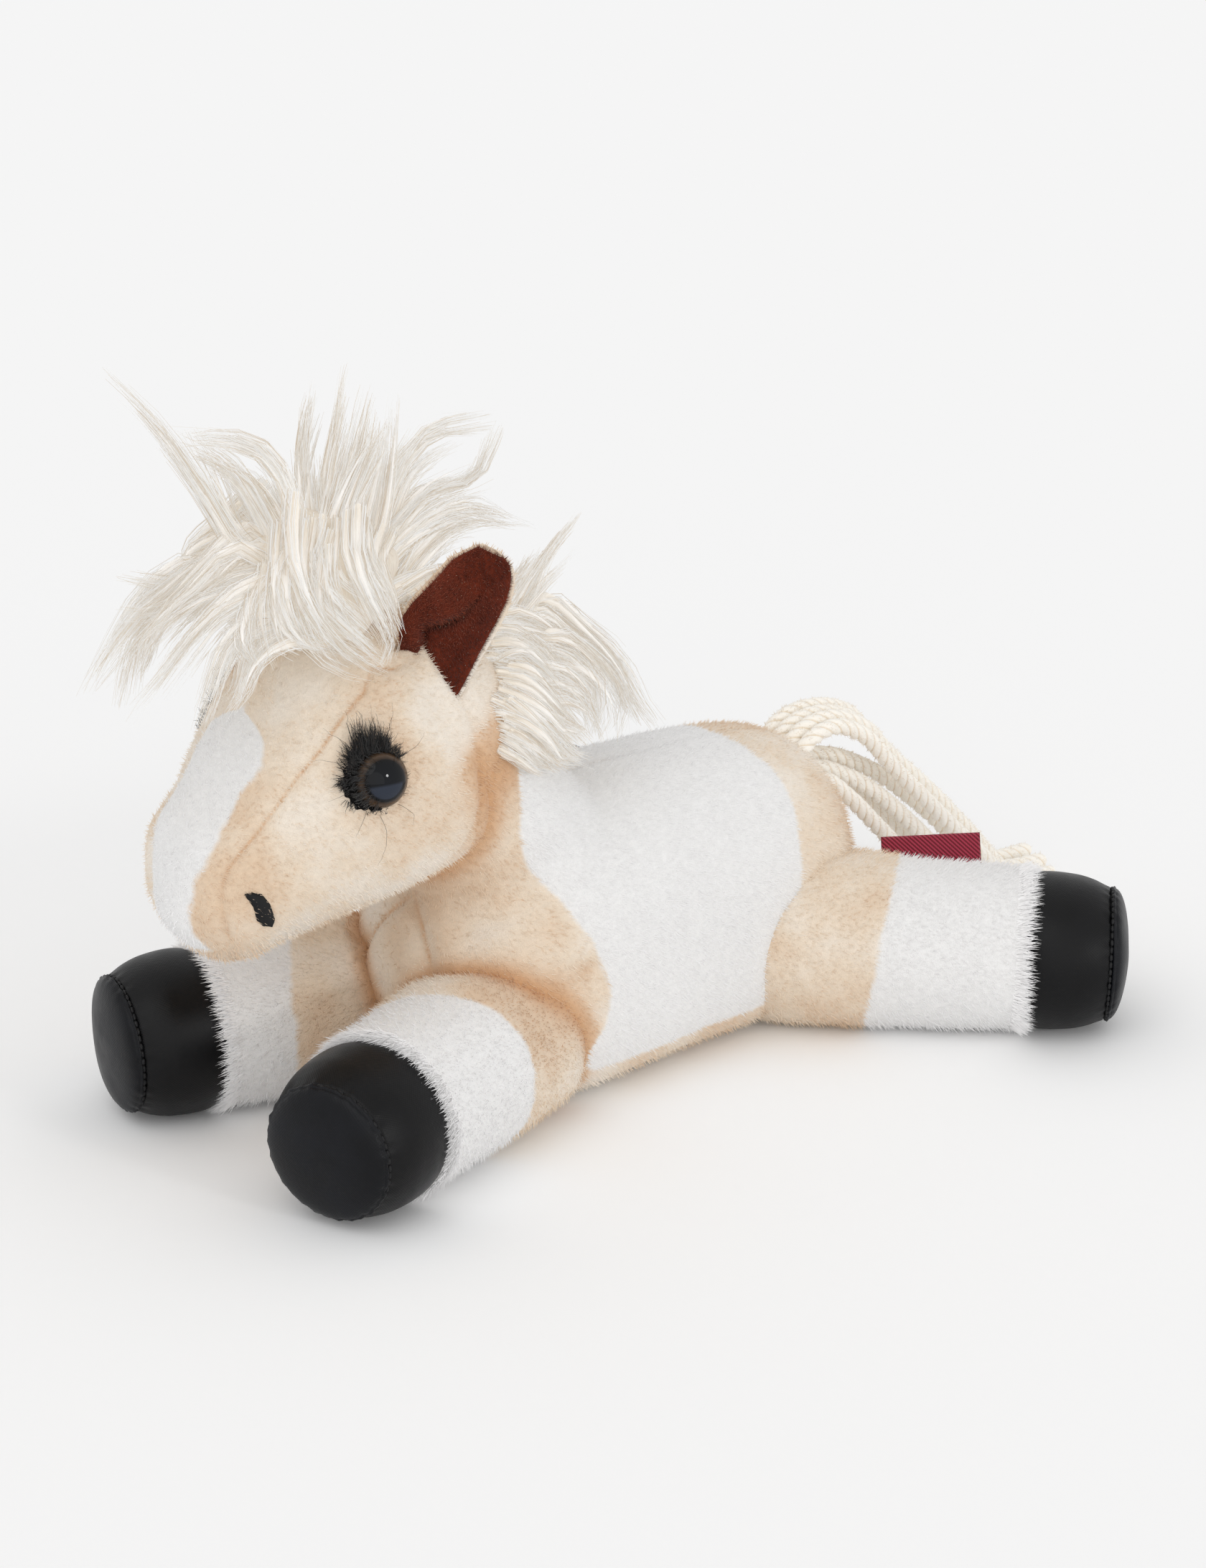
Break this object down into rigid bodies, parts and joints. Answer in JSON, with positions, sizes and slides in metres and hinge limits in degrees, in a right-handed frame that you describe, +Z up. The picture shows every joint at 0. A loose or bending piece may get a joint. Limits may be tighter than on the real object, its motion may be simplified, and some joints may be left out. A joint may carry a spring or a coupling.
{
  "type": "plush toy horse",
  "caption": "Stuffed toy horse lying on its belly with its legs spread, with domed eyes, cupped ears, leather-look hooves, a fluffy forelock and mane, and a cord tail.",
  "frame": {"origin": "on the floor it lies on, under the middle of its bounding box without the tail cords", "axes": "the horse faces -X and its left side is -Y; +Z goes up from the floor"},
  "size_m": [0.3918, 0.2432, 0.2423],
  "materials": {
    "plush": "short cream plush pile, mottled, with white printed areas",
    "filling": "polyester fibre filling",
    "hoof_leather": "black leather-look cloth, satin sheen, fine woven grain",
    "ear_felt": "dark brown felt",
    "hair": "long off-white pile",
    "tail_cord": "twisted off-white cotton cord",
    "eye": "clear domed plastic over a brown ring and a black pupil",
    "washer": "plain moulded plastic",
    "lash": "black brushed cloth with fine lashes",
    "thread": "black satin stitching",
    "ribbon": "red twill ribbon, bare"
  },
  "bodies": {
    "torso": {"torso_cover": "plush", "torso_filling": "filling", "tail_root_upper": "tail_cord", "tail_root_lower": "tail_cord", "tail_cord_1": "tail_cord", "tail_cord_2": "tail_cord", "tail_cord_3": "tail_cord", "tail_cord_4": "tail_cord", "tail_cord_5": "tail_cord", "tail_cord_6": "tail_cord", "tail_cord_7": "tail_cord", "tail_cord_8": "tail_cord"},
    "neck": {"neck_cover": "plush", "neck_filling": "filling", "neck_mane": "hair"},
    "head": {"eye_left": "eye", "lash_patch_left": "lash", "eye_washer_left": "washer", "nostril_left": "thread", "eye_right": "eye", "lash_patch_right": "lash", "eye_washer_right": "washer", "nostril_right": "thread", "head_cover": "plush", "head_filling": "filling", "forelock": "hair"},
    "ear_left": {"ear_left_outer": "plush", "ear_left_lining": "ear_felt"},
    "ear_right": {"ear_right_outer": "plush", "ear_right_lining": "ear_felt"},
    "leg_front_left": {"leg_front_left_cover": "plush", "leg_front_left_filling": "filling", "hoof_front_left_wall": "hoof_leather", "hoof_front_left_sole": "hoof_leather"},
    "leg_front_right": {"leg_front_right_cover": "plush", "leg_front_right_filling": "filling", "hoof_front_right_wall": "hoof_leather", "hoof_front_right_sole": "hoof_leather"},
    "leg_hind_left": {"leg_hind_left_cover": "plush", "leg_hind_left_filling": "filling", "hoof_hind_left_wall": "hoof_leather", "hoof_hind_left_sole": "hoof_leather", "side_label": "ribbon"},
    "leg_hind_right": {"leg_hind_right_cover": "plush", "leg_hind_right_filling": "filling", "hoof_hind_right_wall": "hoof_leather", "hoof_hind_right_sole": "hoof_leather"}
  },
  "joints": [
    {"name": "neck_turn", "type": "hinge", "parent": "torso", "child": "neck", "pos_m": [-0.02489, -0.00869, 0.08096], "axis": [0, 0, 1], "range_deg": [-15, 15]},
    {"name": "head_nod", "type": "hinge", "parent": "neck", "child": "head", "pos_m": [-0.05706, -0.00869, 0.12308], "axis": [0, 1, 0], "range_deg": [-4, 15]},
    {"name": "ear_left_fold", "type": "hinge", "parent": "head", "child": "ear_left", "pos_m": [-0.05774, -0.03067, 0.14115], "axis": [0.573, -0.7006, -0.4253], "range_deg": [-12, 12]},
    {"name": "ear_right_fold", "type": "hinge", "parent": "head", "child": "ear_right", "pos_m": [-0.05774, 0.01328, 0.14114], "axis": [-0.573, -0.7006, 0.4253], "range_deg": [-12, 12]},
    {"name": "leg_front_left_swing", "type": "hinge", "parent": "torso", "child": "leg_front_left", "pos_m": [-0.03905, -0.03299, 0.0265], "axis": [0, 0, 1], "range_deg": [-6, 15]},
    {"name": "leg_front_right_swing", "type": "hinge", "parent": "torso", "child": "leg_front_right", "pos_m": [-0.03905, 0.01561, 0.0265], "axis": [0, 0, -1], "range_deg": [-6, 15]},
    {"name": "leg_hind_left_swing", "type": "hinge", "parent": "torso", "child": "leg_hind_left", "pos_m": [0.07689, -0.03299, 0.0265], "axis": [0, 0, -1], "range_deg": [-8, 12]},
    {"name": "leg_hind_right_swing", "type": "hinge", "parent": "torso", "child": "leg_hind_right", "pos_m": [0.07299, 0.01561, 0.0265], "axis": [0, 0, 1], "range_deg": [-8, 8]}
  ]
}
